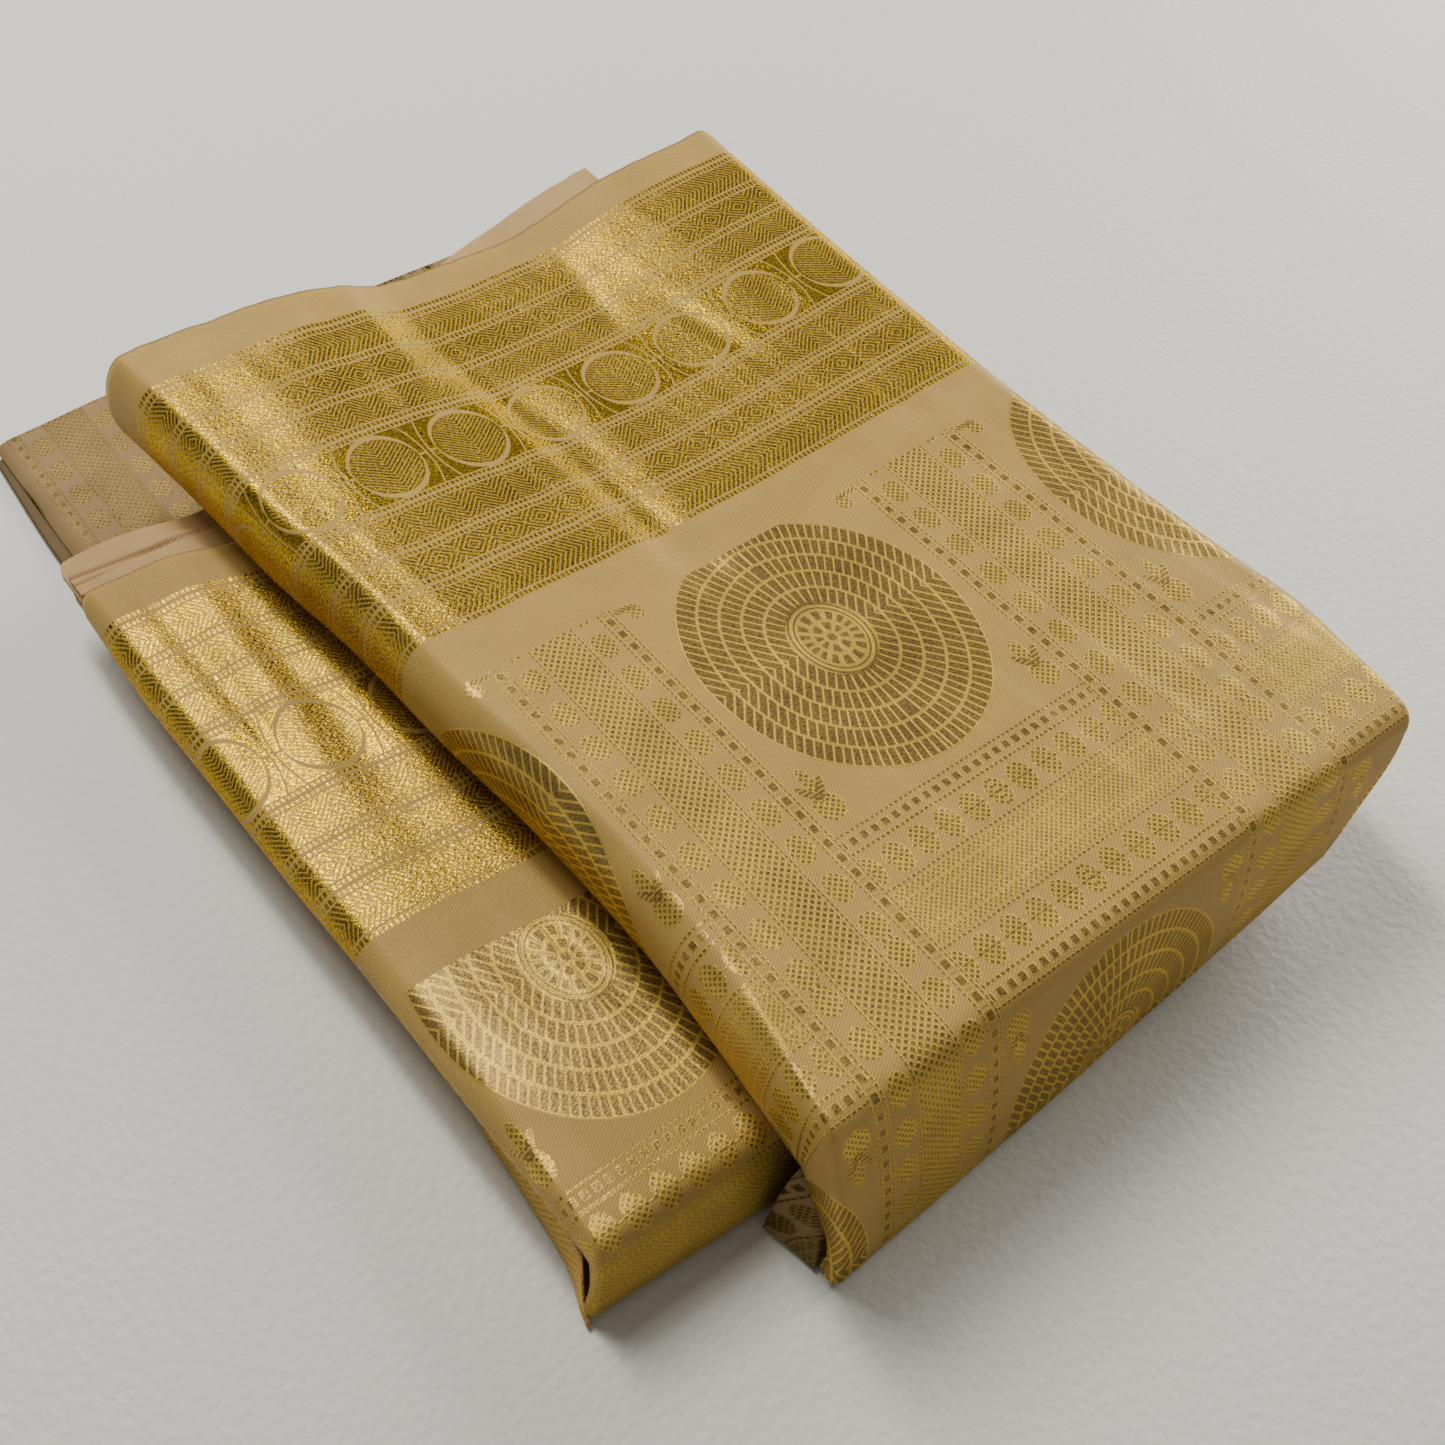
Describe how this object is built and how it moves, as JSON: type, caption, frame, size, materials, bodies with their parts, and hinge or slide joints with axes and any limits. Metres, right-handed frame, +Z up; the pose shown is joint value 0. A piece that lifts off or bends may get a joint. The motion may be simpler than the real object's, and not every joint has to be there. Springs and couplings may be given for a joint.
{
  "type": "folded kanchipuram saree",
  "caption": "Folded silk saree lying flat, its upper bundle askew on a lower one, with a woven zari border and a field of rosettes, pillars and flower rows.",
  "frame": {"origin": "centre of the whole pile's box, on the surface that it lies on", "axes": "+Z up from the table, +X along the cloth's length towards the right side folds, +Y across the cloth from the front fold to the selvage"},
  "size_m": [0.3288, 0.4662, 0.0722],
  "materials": {
    "zari_brocade": "tan silk covered with metallic gold thread, sparkling",
    "plain_silk": "soft silk sheen"
  },
  "bodies": {
    "root": {"upper_stretch": "zari_brocade", "upper_layers": "plain_silk", "upper_front_layers": "zari_brocade", "back_strip": "plain_silk", "lower_stretch": "zari_brocade", "lower_layers": "plain_silk", "lower_base_layers": "zari_brocade", "lower_corner_fold": "zari_brocade", "lower_strip_1": "plain_silk", "lower_strip_2": "plain_silk", "lower_strip_3": "plain_silk", "floor_leaf": "zari_brocade", "floor_leaf_under": "zari_brocade"}
  },
  "joints": []
}
